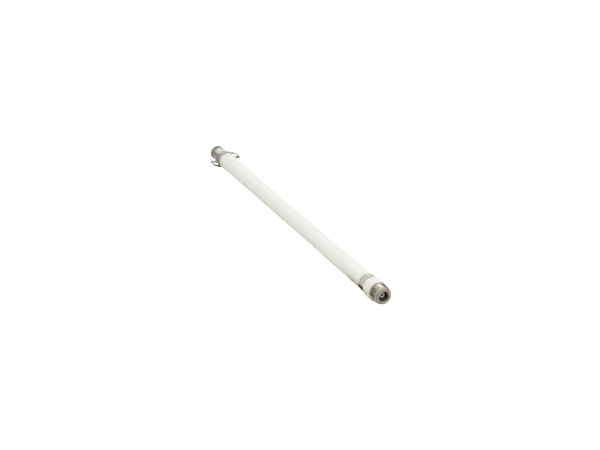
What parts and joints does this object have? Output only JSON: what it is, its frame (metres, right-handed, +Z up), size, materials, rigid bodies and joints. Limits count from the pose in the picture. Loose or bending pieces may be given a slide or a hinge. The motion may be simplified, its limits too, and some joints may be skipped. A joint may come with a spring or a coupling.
{
  "type": "omnidirectional antenna",
  "caption": "Slim rod-shaped omnidirectional antenna: white radome tube with a threaded coaxial jack at its base and a band-clamped, screw-capped tip.",
  "frame": {"origin": "middle of the box's underside, on the plane that the antenna rests on", "axes": "+Y along the antenna from its jack to its tip, +Z up off the resting plane, +X across it"},
  "size_m": [0.0274, 0.357, 0.0173],
  "materials": {
    "moulded_white_fibreglass": "satin gel-coated glass fibre tube",
    "shrink_polyolefin_white": "satin heat-shrink sleeve",
    "soft_white_elastomer": "soft satin elastomer",
    "white_enamel": "white stoved enamel on brass",
    "nickel_plate": "warm satin nickel plate on turned brass",
    "bright_nickel_hex": "bright nickel plate with turned edges",
    "cap_nickel": "bright nickel plate, fluted",
    "stainless_band": "rolled stainless band",
    "zinc_washer": "zinc-plated steel",
    "black_nitrile": "matte nitrile",
    "grey_silicone": "moulded silicone",
    "ptfe": "turned PTFE",
    "silver_plate": "silver plate on beryllium copper",
    "drawn_copper": "drawn bare copper",
    "drawn_brass": "drawn brass",
    "enamelled_copper": "copper wire with clear enamel",
    "turned_acetal": "turned acetal",
    "polyethylene_foam": "closed-cell foam"
  },
  "bodies": {
    "antenna": {"jack_body": "nickel_plate", "jack_insulator": "ptfe", "socket_contact": "silver_plate", "face_seal": "grey_silicone", "base_collar": "white_enamel", "gland_nut": "bright_nickel_hex", "thrust_washer": "zinc_washer", "shrink_sleeve": "shrink_polyolefin_white", "radome_tube": "moulded_white_fibreglass", "cable_ferrule": "bright_nickel_hex", "feed_shield": "drawn_copper", "feed_dielectric": "ptfe", "feed_conductor": "drawn_copper", "choke_sleeve": "drawn_brass", "choke_shorting_disc": "drawn_brass", "lower_element": "drawn_brass", "middle_element": "drawn_brass", "upper_element": "drawn_brass", "lower_phasing_coil": "enamelled_copper", "upper_phasing_coil": "enamelled_copper", "lower_coil_former": "turned_acetal", "upper_coil_former": "turned_acetal", "foam_spacers": "polyethylene_foam", "tip_bush": "ptfe", "end_fitting": "nickel_plate", "spigot_seal": "black_nitrile", "end_boot": "soft_white_elastomer", "ear_clamp": "stainless_band"},
    "seal": {"cap_seal": "black_nitrile"},
    "cap": {"tip_cap": "cap_nickel"}
  },
  "joints": [
    {"name": "cap_travel", "type": "slide", "parent": "antenna", "child": "seal", "axis": [0, 1, 0], "range_m": [0, 0.00625]},
    {"name": "cap_unscrew", "type": "hinge", "parent": "seal", "child": "cap", "pos_m": [0, 0.1755, 0.00865], "axis": [0, 1, 0], "range_deg": [0, 1800]}
  ],
  "couplings": [
    {"joint": "cap_unscrew", "follows": "cap_travel", "rad_per_m": 5026.5}
  ]
}
